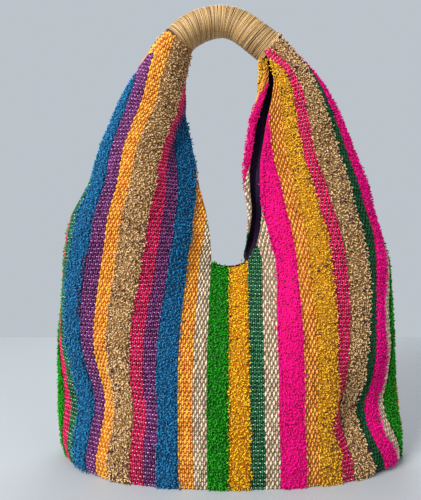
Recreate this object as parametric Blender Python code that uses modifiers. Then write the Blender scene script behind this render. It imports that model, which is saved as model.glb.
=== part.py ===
"""Hand-woven striped hobo bag with a raffia-wrapped handle.

The cloth is woven in lengthwise stripes, some flat and some with a cut pile. A front
and a back panel are joined along their outer edges, from the base up the outside of
both arms, and the tops of the arms are bound into one curved handle. Both panels have
a lining, and an oval base closes the bottom.

Frame: X to the right, Y away from the front, Z up, metres. The bag stands on Z = 0
with the middle of its base at the origin. A place on a panel is given in cloth
coordinates: s runs across the stripes, from 0 on the middle line to the side seams,
and a level runs up the cloth, from 0 on the base to the handle.
"""
import math

import bpy
import numpy as np

COLLECTION = "striped_hobo_bag"
MM = 0.001

PART_GAP = 0.3 * MM
PILE_THICKNESS = 7.0 * MM
FLAT_THICKNESS = 4.0 * MM
HEM_THICKNESS = 3.5 * MM
LINING_THICKNESS = 1.0 * MM
LINING_SLACK = 1.8 * MM
LINING_MIN_INSET = 2.8 * MM
LINING_HEM_DROP = 4.0 * MM
BASE_THICKNESS = 3.0 * MM
BASE_INSET = 0.5 * MM
EDGE_ROW = 3.0 * MM
HEM_HEIGHT = 8.0 * MM
RIDGE_SLOPE = 2.0 * MM
SEAM_STRIP = 3.0 * MM
SEAM_HALF_GAP = 0.5 * MM
COLUMN_PITCH = 2.4 * MM
CREASE_SEAM_FADE = 22.0 * MM
PROFILE_STEPS = 140
CURL_STEPS = 20
NECK_LEVEL = 257.0 * MM
NECK_HALF_WIDTH = 24.0 * MM

# Rows of the cloth's mesh: levels of the body in mm, and shares of the arms' height.
BODY_LEVELS = (36, 68, 100, 132, 168, 204, 235)
ARM_SHARES = (0.03, 0.12, 0.24, 0.36, 0.48, 0.60, 0.72, 0.83, 0.92)

# The s of more mesh columns where an arm bends sharply, in mm.
BEND_COLUMNS = {"left": (110, 102, 89), "right": (95, 115)}

# Stripes from the left side seam to the right one, with their woven widths in mm.
STRIPE_COLUMNS = ("name", "weave", "width", "colour")
STRIPES = (
    ("green_1", "pile", 38, (0.010, 0.300, 0.008)),
    ("crimson_1", "flat", 16, (0.500, 0.010, 0.065)),
    ("dark_green_1", "flat", 16, (0.004, 0.090, 0.035)),
    ("blue_1", "pile", 24, (0.007, 0.130, 0.300)),
    ("purple_1", "flat", 16, (0.080, 0.010, 0.090)),
    ("orange_1", "flat", 16, (0.850, 0.300, 0.015)),
    ("tan_1", "pile", 28, (0.380, 0.220, 0.080)),
    ("crimson_2", "flat", 16, (0.500, 0.010, 0.065)),
    ("purple_2", "flat", 16, (0.080, 0.010, 0.090)),
    ("blue_2", "pile", 24, (0.007, 0.130, 0.300)),
    ("orange_2", "flat", 17, (0.850, 0.300, 0.015)),
    ("natural_1", "flat", 16, (0.550, 0.430, 0.280)),
    ("green_2", "pile", 24, (0.010, 0.300, 0.008)),
    ("gold_1", "pile", 24, (0.750, 0.360, 0.012)),
    ("dark_green_2", "flat", 17, (0.004, 0.090, 0.035)),
    ("natural_2", "flat", 17, (0.550, 0.430, 0.280)),
    ("pink_1", "pile", 29, (0.900, 0.001, 0.240)),
    ("light_orange", "flat", 16, (0.850, 0.380, 0.080)),
    ("mustard", "pile", 24, (0.620, 0.330, 0.020)),
    ("crimson_3", "flat", 16, (0.500, 0.010, 0.065)),
    ("tan_2", "pile", 27, (0.380, 0.220, 0.080)),
    ("dark_green_3", "flat", 16, (0.004, 0.090, 0.035)),
    ("pink_2", "pile", 27, (0.900, 0.001, 0.240)),
    ("natural_3", "flat", 16, (0.550, 0.430, 0.280)),
    ("green_3", "pile", 25, (0.010, 0.300, 0.008)),
    ("gold_2", "pile", 13, (0.750, 0.360, 0.012)),
)
STRIPES_LEFT_OF_MIDDLE = 13

# Cross sections of one half of the bag, from the base to the handle. A section starts at
# the side seam. Up to the bottom of the neckline it runs to the middle line, and above it
# to the neckline or a little past it. Lengths are in mm and angles in degrees.
#   level       height of the section's middle
#   centre, half   middle of the section in X, and half its width
#   tilt        how far the section's outer end is turned up
#   depth       how far the cloth bulges to the front, and to the back
#   edge_depth  the same at the section's inner end
#   sweep       how far round its oval the section runs, 90 to the inner end of a
#               quarter oval, more where the arm curls inwards
#   square      2 for an oval, more for a boxier section
#   seam, edge  the cloth coordinate s at the seam and at the section's inner end
#   neckline    the s at which the cloth really ends, above the bottom of the neckline
#   twist       how far the arm is turned about its own length
SECTION_COLUMNS = ("level", "centre", "half", "tilt", "depth", "edge_depth",
                   "sweep", "square", "seam", "edge", "neckline", "twist")
SECTIONS = {
    "left": (
        (0.0, -109.0, 105.0, 0, 94, 94, 90, 2.2, 258, 0, 24, 0),
        (30.0, -113.0, 109.0, 0, 95, 96, 90, 2.4, 260, 0, 24, 0),
        (70.0, -115.2, 111.2, 0, 94, 95, 90, 2.5, 258, 0, 24, 0),
        (120.0, -115.4, 111.4, 0, 90, 88, 90, 2.5, 254, 0, 24, 0),
        (170.0, -113.5, 110.5, 0, 86, 70, 90, 2.5, 250, 0, 24, 0),
        (210.0, -111.5, 109.5, 0, 82, 46, 90, 2.5, 249, 0, 24, 0),
        (257.0, -109.5, 109.5, 0, 78, 22, 90, 2.5, 249, 0, 24, 0),
        (288.0, -107.8, 107.3, 0, 75, 22, 90, 2.5, 243, 6, 31, 2),
        (320.0, -110.8, 96.3, 0, 72, 24, 90, 2.5, 234, 22, 39, 5),
        (360.0, -110.5, 76.2, 0, 66, 27, 90, 2.4, 221, 44, 53, 8),
        (400.0, -111.5, 62.5, 1, 58, 28, 92, 2.3, 210, 58, 58, 8),
        (430.0, -107.0, 53.5, 6, 51, 27, 98, 2.2, 203, 61, 61, 10),
        (465.7, -102.2, 41.7, 15, 42, 25, 110, 2.1, 191, 80, 80, 20),
        (507.0, -93.5, 29.5, 27, 31, 21, 126, 2.0, 168, 101, 101, 42),
        (538.8, -81.2, 22.5, 38, 23, 16, 132, 2.0, 154, 108, 108, 56),
        (562.6, -67.2, 16.5, 43, 16.5, 12, 135, 2.0, 146, 110, 110, 60),
    ),
    "right": (
        (0.0, 111.0, 115.0, 0, 94, 94, 90, 2.2, 264, 0, 24, 0),
        (30.0, 111.0, 115.0, 0, 95, 96, 90, 2.4, 267, 0, 24, 0),
        (70.0, 109.0, 113.0, 0, 94, 95, 90, 2.5, 269, 0, 24, 0),
        (120.0, 107.5, 111.5, 0, 90, 88, 90, 2.5, 261, 0, 24, 0),
        (170.0, 106.0, 109.0, 0, 86, 70, 90, 2.5, 254, 0, 24, 0),
        (210.0, 105.3, 107.3, 0, 82, 46, 90, 2.5, 249, 0, 24, 0),
        (257.0, 105.0, 105.0, 0, 78, 22, 90, 2.5, 247, 0, 24, 0),
        (288.0, 102.3, 102.3, 0, 74, 22, 90, 2.5, 246, 10, 43, 5),
        (320.0, 103.0, 92.0, 0, 70, 23, 90, 2.5, 245, 30, 55, 8),
        (360.0, 105.4, 81.6, 0, 64, 26, 90, 2.4, 239, 54, 63, 9),
        (400.0, 101.0, 67.0, 5, 57, 28, 92, 2.3, 232, 73, 73, 9),
        (446.0, 94.0, 55.0, 12, 48, 27, 100, 2.2, 222, 85, 85, 11),
        (478.0, 86.5, 45.5, 20, 41, 24, 114, 2.1, 216, 91, 91, 18),
        (510.0, 75.5, 30.5, 30, 31, 17, 136, 2.0, 209, 102, 102, 25),
        (535.5, 64.0, 21.0, 44, 22.5, 11, 146, 2.0, 200, 118, 118, 26),
        (554.0, 52.7, 16.5, 54, 16.5, 7, 150, 2.0, 193, 125, 125, 26),
    ),
}
DISH_REACH = 0.62

# Creases where the standing cloth buckles. Each pushes the cloth in towards the middle
# of the bag (inward) and away from the face that it is on (back). In mm: the crease
# starts at s_start, is full from s_full to s_hold and is gone again at s_end, and it is
# centred on a level, with a half height.
CREASE_COLUMNS = ("side", "s_start", "s_full", "s_hold", "s_end", "level",
                  "half_height", "inward", "back")
CREASES = (
    ("left", 75, 180, 205, 262, 88, 48, 14, 17),
    ("right", 118, 152, 212, 262, 84, 46, 13, 17),
)

# Step folds of an arm's front panel: beyond s_ridge, towards the neckline, the cloth
# drops back, and some of it is tucked away in the step.
FOLD_COLUMNS = ("side", "s_ridge", "run", "level", "half_height", "tuck", "back")
FOLDS = (
    ("left", 110, 26, 440, 47, 24, 14),
)
FOLD_CLEARANCE = 1.3    # how much sooner the lining turns off, for each mm of its inset

# How much further than the front panel the back one reaches at an arm's neckline, in mm
# by the level. The extra cloth curls round the arm's inner side, and turns its outer face
# to the front.
BACK_REACH = {
    "left": ((0, 0), (600, 0)),
    "right": ((257, 0), (288, 6), (330, 11), (360, 12), (411, 16), (478, 18), (510, 19),
              (536, 14), (554, 8)),
}
CURL_HEADING = math.radians(-20)
CURL_RADIUS = 4.5 * MM
CURL_CLEARANCE = 0.4    # how much sooner the back lining ends, as a share of the reach

# The lower edge of the cloth lifts off the surface near one corner.
LIFT_COLUMNS = ("side", "s_start", "s_full", "s_hold", "s_end", "height", "reach")
BASE_LIFTS = (
    ("left", 140, 195, 225, 260, 4, 40),
    ("right", 150, 185, 215, 260, 5, 40),
)

# The handle between the two arms: the middle of its centre line, in mm and degrees, and
# its radius in mm at the left end, the middle and the right end.
WRAP_MIDDLE = {"x": -9.5, "z": 588.0, "heading": 1}
WRAP_RADII = (21.5, 20.0, 21.5)
WRAP_RIDGES = 20
WRAP_RIDGE_HEIGHT = 0.9 * MM
WRAP_SIDES_RESOLUTION = 4

LINING_COLOUR = (0.030, 0.010, 0.045)
BASE_COLOUR = (0.020, 0.010, 0.035)
RAFFIA_COLOUR = (0.420, 0.250, 0.090)
CLOTH_COLOUR = (0.550, 0.300, 0.150)


def as_rows(columns, rows):
    """Rows of a table as dictionaries with named columns."""
    return [dict(zip(columns, row)) for row in rows]


def smooth_step(value):
    """0 below 0, 1 above 1, and a soft rise between."""
    value = np.clip(value, 0.0, 1.0)
    return value * value * (3.0 - 2.0 * value)


def plateau(value, start, full, hold, end):
    """A soft rise from start to full, level to hold, and a soft fall to end."""
    return smooth_step((value - start) / (full - start)) * smooth_step((end - value) / (end - hold))


def smooth_curve(xs, ys, x):
    """A cubic through the points that never overshoots them."""
    xs = np.asarray(xs, float)
    ys = np.asarray(ys, float)
    steps = np.diff(xs)
    slopes = np.diff(ys) / steps
    tangents = np.zeros(len(xs))
    tangents[0] = slopes[0]
    tangents[-1] = slopes[-1]
    for k in range(1, len(xs) - 1):
        if slopes[k - 1] * slopes[k] > 0:
            w_a = 2 * steps[k] + steps[k - 1]
            w_b = steps[k] + 2 * steps[k - 1]
            tangents[k] = (w_a + w_b) / (w_a / slopes[k - 1] + w_b / slopes[k])
    x = np.clip(x, xs[0], xs[-1])
    k = np.clip(np.searchsorted(xs, x) - 1, 0, len(xs) - 2)
    u = (x - xs[k]) / steps[k]
    return ((1 + 2 * u) * (1 - u) ** 2 * ys[k] + u * (1 - u) ** 2 * steps[k] * tangents[k]
            + u * u * (3 - 2 * u) * ys[k + 1] + u * u * (u - 1) * steps[k] * tangents[k + 1])


def curled(outward, forward, length, start, curl):
    """A section's curve cut at a start, and then curling on round the inner side."""
    kept = length < start - 0.2 * MM
    outward = np.append(outward[kept], np.interp(start, length, outward))
    forward = np.append(forward[kept], np.interp(start, length, forward))
    heading = math.atan2(forward[-1] - forward[-2], outward[-1] - outward[-2])
    heading -= 2 * math.pi if heading > 0 else 0.0
    share = (np.arange(CURL_STEPS) + 0.5) / CURL_STEPS
    turned = heading + min(CURL_HEADING - heading, curl / CURL_RADIUS) * smooth_step(share)
    step = curl / CURL_STEPS
    outward = np.append(outward, outward[-1] + step * np.cumsum(np.cos(turned)))
    forward = np.append(forward, forward[-1] + step * np.cumsum(np.sin(turned)))
    length = np.append(length[kept], start + step * np.arange(CURL_STEPS + 1))
    return outward, forward, length


class Half:
    """One half of the bag: its sections, and the cloth's place on them."""

    def __init__(self, name):
        self.name = name
        self.sign = -1.0 if name == "left" else 1.0
        self.table = np.array(SECTIONS[name], float)
        self.levels = self.table[:, 0] * MM
        self.top = self.levels[-1]
        self.creases = [row for row in as_rows(CREASE_COLUMNS, CREASES) if row["side"] == name]
        self.folds = [row for row in as_rows(FOLD_COLUMNS, FOLDS) if row["side"] == name]
        self.lifts = [row for row in as_rows(LIFT_COLUMNS, BASE_LIFTS) if row["side"] == name]

    def value(self, column, level):
        """A column of the section table at any level, in metres, radians or as it is."""
        scale = {"tilt": math.radians(1), "twist": math.radians(1),
                 "sweep": math.radians(1), "square": 1.0}.get(column, MM)
        values = self.table[:, SECTION_COLUMNS.index(column)] * scale
        return float(smooth_curve(self.levels, values, level))

    def neckline(self, level, face):
        """The s at which the front (face 1) or back (-1) panel ends on a level."""
        levels, reach = zip(*BACK_REACH[self.name])
        extra = float(np.interp(level / MM, levels, reach)) * MM if face < 0 else 0.0
        return max(self.value("neckline", level), self.value("edge", level)) - extra

    def profile(self, level, inset):
        """The section's curve from the seam inwards, as outward and forward distances."""
        half = self.value("half", level) - inset / 2
        depth = self.value("depth", level) - inset
        edge_depth = self.value("edge_depth", level) - inset
        power = 2.0 / self.value("square", level)
        angle = np.linspace(0.0, self.value("sweep", level), PROFILE_STEPS)
        cosine = np.sign(np.cos(angle)) * np.abs(np.cos(angle)) ** power
        share = (cosine - cosine[-1]) / (1.0 - cosine[-1])
        outward = half * (2.0 * share - 1.0)
        forward = depth * np.abs(np.sin(angle)) ** power
        dish = forward[-1] - edge_depth
        forward = forward - dish * np.cos(np.pi / 2 * np.minimum(share / DISH_REACH, 1.0)) ** 2
        return outward, forward

    def folded(self, column, s, level, face, inset):
        """How far the folds have taken the cloth back or tucked it away between the seam
        and s. Cloth inside the sections turns off sooner, so it stays clear of the step."""
        amount = 0.0
        for fold in self.folds if face > 0 else ():
            height = (level - fold["level"] * MM) / (fold["half_height"] * MM)
            step = smooth_step((fold["s_ridge"] * MM + FOLD_CLEARANCE * inset - s) / (fold["run"] * MM))
            amount = amount + math.exp(-height * height) * step * fold[column] * MM
        return amount

    def place(self, s, level, face, inset=0.0):
        """Points of the cloth on one level, at the distances s from the middle line.

        face is +1 for the front panel and -1 for the back one, and inset moves the
        cloth inside its section."""
        s = np.asarray(s, float)
        seam = self.value("seam", level)
        edge = self.value("edge", level)
        outward, forward = self.profile(level, inset)
        steps = np.hypot(np.diff(outward), np.diff(forward))
        length = np.concatenate(([0.0], np.cumsum(steps)))
        stretch = length[-1] / (seam - edge - self.folded("tuck", edge, level, face, inset))
        run = (seam - s - self.folded("tuck", s, level, face, inset)) * stretch
        run = np.clip(run, 0.0, length[-1])
        curl_start = self.neckline(level, 1)
        curl = curl_start - self.neckline(level, face)
        if curl > 0:
            start = (seam - curl_start) * stretch
            outward, forward, length = curled(outward, forward, length, start, curl)
            run = np.where(s < curl_start, start + curl_start - s, run)
        in_strip = seam - s < SEAM_STRIP * 1.01
        out = np.where(in_strip, outward[0], np.interp(run, length, outward))
        fore = np.where(in_strip, seam - s, np.interp(run, length, forward))
        fore = np.maximum(fore, SEAM_HALF_GAP)
        fore = fore - self.folded("back", s, level, face, inset)
        twist = self.value("twist", level)
        tilt = self.value("tilt", level)
        local_x = self.sign * out
        local_y = -face * fore
        turned_x = local_x * math.cos(twist) - local_y * math.sin(twist)
        y = local_x * math.sin(twist) + local_y * math.cos(twist)
        x = self.value("centre", level) - self.sign * inset / 2 + turned_x * math.cos(tilt)
        z = level + self.sign * turned_x * math.sin(tilt)
        for crease in self.creases:
            height = (level - crease["level"] * MM) / (crease["half_height"] * MM)
            strength = math.exp(-height * height) * smooth_step((seam - s) / CREASE_SEAM_FADE) * plateau(
                s / MM, crease["s_start"], crease["s_full"], crease["s_hold"], crease["s_end"])
            x = x - self.sign * strength * crease["inward"] * MM
            y = y + face * strength * crease["back"] * MM
        for lift in self.lifts:
            bump = plateau(s / MM, lift["s_start"], lift["s_full"], lift["s_hold"], lift["s_end"])
            z = z + bump * lift["height"] * MM * max(0.0, 1.0 - level / (lift["reach"] * MM))
        return np.column_stack((x, y, z))

    def down_the_arm(self):
        """The direction away from the handle at the top of the arm."""
        tilt = self.value("tilt", self.top)
        return np.array((self.sign * math.sin(tilt), 0.0, -math.cos(tilt)))


HALVES = {name: Half(name) for name in SECTIONS}


def half_stripes(name):
    """Stripes of one half from the middle outwards: first and last s, and the row."""
    rows = as_rows(STRIPE_COLUMNS, STRIPES)
    rows = rows[:STRIPES_LEFT_OF_MIDDLE][::-1] if name == "left" else rows[STRIPES_LEFT_OF_MIDDLE:]
    stripes = []
    start = 0.0
    for row in rows:
        stripes.append((start, start + row["width"] * MM, row))
        start += row["width"] * MM
    return stripes


def cloth_thickness(half, s, level, face):
    """Thickness of the cloth at a distance s from the middle line: more in the stripes
    with pile, and down to the hem's along the neckline and the seam."""
    thickness = FLAT_THICKNESS
    for start, end, row in half_stripes(half.name):
        if start <= s <= end and row["weave"] == "pile":
            rise = min((s - start) / RIDGE_SLOPE, (end - s) / RIDGE_SLOPE, 1.0)
            thickness = FLAT_THICKNESS + (PILE_THICKNESS - FLAT_THICKNESS) * rise
    from_hem = half.value("seam", level) - s
    if level > NECK_LEVEL - EDGE_ROW:
        from_hem = min(from_hem, s - half.neckline(level + HEM_HEIGHT, face))
    return min(thickness, HEM_THICKNESS + max(0.0, from_hem - EDGE_ROW))


def cloth_columns(name, with_ridges):
    """The s of every mesh column of one half, on the base, from the middle outwards."""
    columns = [0.0]
    for start, end, row in half_stripes(name):
        outermost = end > HALVES[name].value("seam", 0.0) - RIDGE_SLOPE
        if outermost:
            end -= SEAM_STRIP
        if row["weave"] == "pile" and with_ridges:
            columns += [start + RIDGE_SLOPE, end - RIDGE_SLOPE]
        columns.append(end)
        if outermost:
            columns.append(end + SEAM_STRIP)
    return np.array(sorted(columns + [s * MM for s in BEND_COLUMNS[name]]))


def columns_on_level(half, columns, level, edge):
    """Where the mesh columns lie on a level: on their stripes, except that the ones that
    have run into the neckline's edge or the seam stay side by side along it."""
    last = len(columns) - 1
    first = neck_column(columns)
    seam = half.value("seam", level)
    pitch = min(COLUMN_PITCH, 0.95 * (seam - SEAM_STRIP - edge) / (last - 1 - first))
    order = np.arange(last + 1)
    s = np.minimum(columns, seam - SEAM_STRIP - pitch * (last - 1 - order))
    if level > NECK_LEVEL:
        s = np.maximum(s, edge + pitch * (order - first))
    s[-1] = seam
    return s


def neck_column(columns):
    """The number of the mesh column that becomes the neckline."""
    return int(np.argmax(columns > NECK_HALF_WIDTH * 0.999))


def cloth_sheet(face, with_ridges, inset=None, foot=0.0, drop=0.0):
    """The grid of one panel or lining: its points, thicknesses and quads.

    The rows cross both halves up to the bottom of the neckline, and each arm has its own
    above it. inset gives the cloth's distance inside the sections on a level."""
    points = []
    thicknesses = []
    quads = []
    shared = {}
    for name, half in HALVES.items():
        columns = cloth_columns(name, with_ridges)
        body = [foot, foot + EDGE_ROW] + [level * MM for level in BODY_LEVELS] + [NECK_LEVEL - drop]
        arm = [NECK_LEVEL + share * (half.top - NECK_LEVEL) for share in ARM_SHARES]
        levels = body + arm + [half.top, half.top]
        below = {}
        for index, level in enumerate(levels):
            edge = half.neckline(level, face)
            if inset:
                front_edge = half.neckline(level, 1)
                edge = front_edge + drop + CURL_CLEARANCE * (front_edge - edge)
            s = columns_on_level(half, columns, level, edge)
            depth = inset(level, half.top) if inset else 0.0
            row = half.place(s, max(level, foot + EDGE_ROW), face, depth)
            if index == 0:
                row[:, 2] -= EDGE_ROW
            if level == half.top:
                strip = EDGE_ROW if index == len(levels) - 2 else 0.0
                row = row + half.down_the_arm() * (drop + strip)
            numbers = {}
            for k in range(0 if index < len(body) else neck_column(columns), len(s)):
                if k == 0 and index in shared:
                    numbers[k] = shared[index]
                    continue
                numbers[k] = len(points)
                points.append(tuple(row[k]))
                hem = level == half.top
                thicknesses.append(
                    HEM_THICKNESS if hem else cloth_thickness(half, s[k], level, face))
            shared.setdefault(index, numbers.get(0))
            for k in numbers:
                if k in below and k + 1 in numbers:
                    quad = (below[k], below[k + 1], numbers[k + 1], numbers[k])
                    quads.append(quad if half.sign * face > 0 else quad[::-1])
            below = numbers
    return points, thicknesses, quads


def make_material(name, colour, roughness):
    """A Principled material."""
    material = bpy.data.materials.new(name)
    material.use_nodes = True
    shader = material.node_tree.nodes["Principled BSDF"]
    shader.inputs["Base Color"].default_value = (*colour, 1.0)
    shader.inputs["Roughness"].default_value = roughness
    return material


def link_object(name, data, collection, material):
    """A new object of the bag, in its collection and with its material."""
    obj = bpy.data.objects.new(name, data)
    collection.objects.link(obj)
    data.materials.append(material)
    return obj


def make_sheet(name, grid, thickness, outward, collection, material):
    """A sheet of cloth: a grid of points made a shell with Solidify."""
    points, thicknesses, quads = grid
    mesh = bpy.data.meshes.new(name)
    mesh.from_pydata(points, [], quads)
    mesh.update()
    mesh.shade_smooth()
    sheet = link_object(name, mesh, collection, material)
    shell = sheet.modifiers.new("thickness", "SOLIDIFY")
    shell.thickness = thickness
    shell.offset = 1.0 if outward else -1.0
    shell.use_even_offset = False
    if outward:
        group = sheet.vertex_groups.new(name="thickness")
        for number, here in enumerate(thicknesses):
            group.add([number], here / thickness, "REPLACE")
        shell.vertex_group = group.name
    return sheet


def make_panel(name, face, collection):
    """The front or the back panel, ridged where its stripes have pile."""
    material = make_material(name, CLOTH_COLOUR, 0.95)
    grid = cloth_sheet(face, with_ridges=True)
    return make_sheet(name, grid, PILE_THICKNESS, True, collection, material)


def lining_inset(level, top):
    """How far the lining hangs inside the cloth: close at its ends, slack between."""
    room = float(smooth_step(min(level, top - level) / (30 * MM)))
    arm = float(smooth_step((level - NECK_LEVEL) / (150 * MM)))
    return LINING_MIN_INSET + LINING_SLACK * room * (1.0 - arm)


def make_lining(name, face, collection):
    """The lining of one panel."""
    foot = BASE_THICKNESS + 2 * PART_GAP
    material = make_material(name, LINING_COLOUR, 0.8)
    grid = cloth_sheet(face, False, lining_inset, foot, LINING_HEM_DROP)
    return make_sheet(name, grid, LINING_THICKNESS, False, collection, material)


def make_base(collection):
    """The oval base, flat on the surface inside the lower edge of the cloth."""
    sides = []
    for name, half in HALVES.items():
        s = columns_on_level(half, cloth_columns(name, True), EDGE_ROW, 0.0)[:-1]
        sides.append(half.place(s, EDGE_ROW, 1)[:, :2])
    front = np.vstack((sides[0][::-1], sides[1][1:]))
    outline = np.vstack((front, (front * (1, -1))[::-1]))
    along = np.roll(outline, -1, axis=0) - np.roll(outline, 1, axis=0)
    inward = np.column_stack((-along[:, 1], along[:, 0]))
    inward /= np.linalg.norm(inward, axis=1)[:, None]
    outline = outline + inward * BASE_INSET
    curve = bpy.data.curves.new("base_panel", "CURVE")
    curve.dimensions = "2D"
    curve.fill_mode = "BOTH"
    curve.extrude = BASE_THICKNESS / 2
    spline = curve.splines.new("POLY")
    spline.points.add(len(outline) - 1)
    for point, place in zip(spline.points, outline):
        point.co = (place[0], place[1], 0.0, 1.0)
    spline.use_cyclic_u = True
    base = link_object("base_panel", curve, collection,
                       make_material("base_panel", BASE_COLOUR, 0.85))
    base.location.z = BASE_THICKNESS / 2
    return base


def wrap_centre_line():
    """Places along the handle's centre line, evenly spaced from arm to arm."""
    ends = []
    for name, turn in (("left", 1.0), ("right", -1.0)):
        half = HALVES[name]
        up = -half.down_the_arm()
        place = np.array((half.value("centre", half.top), 0.0, half.top)) + up * 2 * PART_GAP
        ends.append((place, up * turn))
    heading = math.radians(WRAP_MIDDLE["heading"])
    middle = (np.array((WRAP_MIDDLE["x"], 0.0, WRAP_MIDDLE["z"])) * MM,
              np.array((math.cos(heading), 0.0, math.sin(heading))))
    line = []
    for (a, go_a), (b, go_b) in ((ends[0], middle), (middle, ends[1])):
        reach = np.linalg.norm(b - a)
        for u in np.linspace(0.0, 1.0, 60)[: 60 if b is ends[1][0] else 59]:
            line.append((1 + 2 * u) * (1 - u) ** 2 * a + u * (1 - u) ** 2 * reach * go_a
                        + u * u * (3 - 2 * u) * b + u * u * (u - 1) * reach * go_b)
    line = np.array(line)
    length = np.concatenate(([0.0], np.cumsum(np.linalg.norm(np.diff(line, axis=0), axis=1))))
    even = np.linspace(0.0, length[-1], 2 * WRAP_RIDGES + 1)
    return np.column_stack([np.interp(even, length, line[:, axis]) for axis in range(3)])


def make_handle_wrap(collection):
    """The curved handle, bound with raffia: a tube ridged by its turns."""
    places = wrap_centre_line()
    radii = np.interp(np.linspace(-1.0, 1.0, len(places)), (-1.0, 0.0, 1.0), WRAP_RADII) * MM
    curve = bpy.data.curves.new("handle_wrap", "CURVE")
    curve.dimensions = "3D"
    curve.twist_mode = "Z_UP"
    curve.bevel_depth = 1.0
    curve.bevel_resolution = WRAP_SIDES_RESOLUTION
    curve.use_fill_caps = True
    spline = curve.splines.new("POLY")
    spline.points.add(len(places) - 1)
    for number, (point, place) in enumerate(zip(spline.points, places)):
        point.co = (*place, 1.0)
        point.radius = radii[number] + (WRAP_RIDGE_HEIGHT if number % 2 else 0.0)
    return link_object("handle_wrap", curve, collection,
                       make_material("handle_wrap", RAFFIA_COLOUR, 0.6))


def clear_scene():
    """Remove the objects that Blender opens with."""
    for obj in list(bpy.data.objects):
        bpy.data.objects.remove(obj, do_unlink=True)


def main():
    clear_scene()
    collection = bpy.data.collections.new(COLLECTION)
    bpy.context.scene.collection.children.link(collection)
    make_panel("front_panel", 1, collection)
    make_panel("back_panel", -1, collection)
    make_lining("lining_front", 1, collection)
    make_lining("lining_back", -1, collection)
    make_base(collection)
    make_handle_wrap(collection)


main()
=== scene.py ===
"""The striped hobo bag, dressed in woven yarn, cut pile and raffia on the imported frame.

The cloth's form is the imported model's, from the same named values. A place on a panel
is a distance s from the middle line across the stripes, and a level up the cloth.
"""
import math

import bpy
import numpy as np
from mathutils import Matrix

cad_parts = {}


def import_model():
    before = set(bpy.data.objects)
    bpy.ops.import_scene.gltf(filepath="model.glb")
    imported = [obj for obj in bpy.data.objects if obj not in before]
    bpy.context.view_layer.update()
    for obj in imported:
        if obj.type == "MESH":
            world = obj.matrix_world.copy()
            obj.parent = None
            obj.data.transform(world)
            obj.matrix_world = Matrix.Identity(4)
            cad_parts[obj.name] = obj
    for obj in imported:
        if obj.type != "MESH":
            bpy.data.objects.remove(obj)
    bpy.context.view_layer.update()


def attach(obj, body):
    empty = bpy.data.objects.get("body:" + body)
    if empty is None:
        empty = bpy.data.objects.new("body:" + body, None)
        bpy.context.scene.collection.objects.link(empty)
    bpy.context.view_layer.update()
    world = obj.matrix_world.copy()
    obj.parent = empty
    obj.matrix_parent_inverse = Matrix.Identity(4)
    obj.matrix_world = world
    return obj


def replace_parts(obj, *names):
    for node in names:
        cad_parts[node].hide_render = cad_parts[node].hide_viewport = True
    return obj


MM = 0.001
DEGREES = math.radians(1)
RANDOM = np.random.default_rng(11)

# The panels' neckline and side seams.
NECK_LEVEL = 257.0 * MM
NECK_HALF_WIDTH = 24.0 * MM
NECK_DIP = 5.0 * MM          # how far the neckline sags in its middle,
NECK_DIP_REACH = 30.0 * MM   # and how far down the cloth under it sags too
SEAM_STRIP = 3.0 * MM
SEAM_HALF_GAP = 0.1 * MM
CREASE_SEAM_FADE = 22.0 * MM
PROFILE_STEPS = 140

# Cloth under the yarns: mesh rows and columns, and thicknesses.
ROW_STEP = 6.0 * MM
COLUMN_STEP = 5.5 * MM
SQUEEZED_STEP = 0.3 * MM
FLAT_BACKING = 2.2 * MM
PILE_BACKING = 4.2 * MM
HEM_BACKING = 2.2 * MM
HEM_WIDTH = 3 * MM
HEM_RISE = 8 * MM    # how far under the sloping neckline the cloth still thins
RIDGE_SLOPE = 2.5 * MM

# Stripes from the left side seam to the right one, with their woven widths in mm. They are
# woven flat, or have a pile.
STRIPES = (
    ("green", 38), ("crimson", 16), ("dark_green", 16), ("blue", 24), ("purple", 16),
    ("orange", 16), ("tan", 28), ("crimson", 16), ("purple", 16), ("blue", 24),
    ("orange", 17), ("natural", 16), ("green", 24), ("gold", 24), ("dark_green", 17),
    ("natural", 17), ("pink", 29), ("light_orange", 16), ("mustard", 24), ("crimson", 16),
    # The dark green stripe near the right seam takes a darker copy of its yarn: painted
    # shade.
    ("tan", 27), ("dark_green_painted_shade", 16), ("pink", 27), ("natural", 16), ("green", 25),
    ("gold", 13),
)
PILE_YARNS = ("green", "blue", "tan", "gold", "pink", "mustard")
STRIPES_LEFT_OF_MIDDLE = 13

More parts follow.
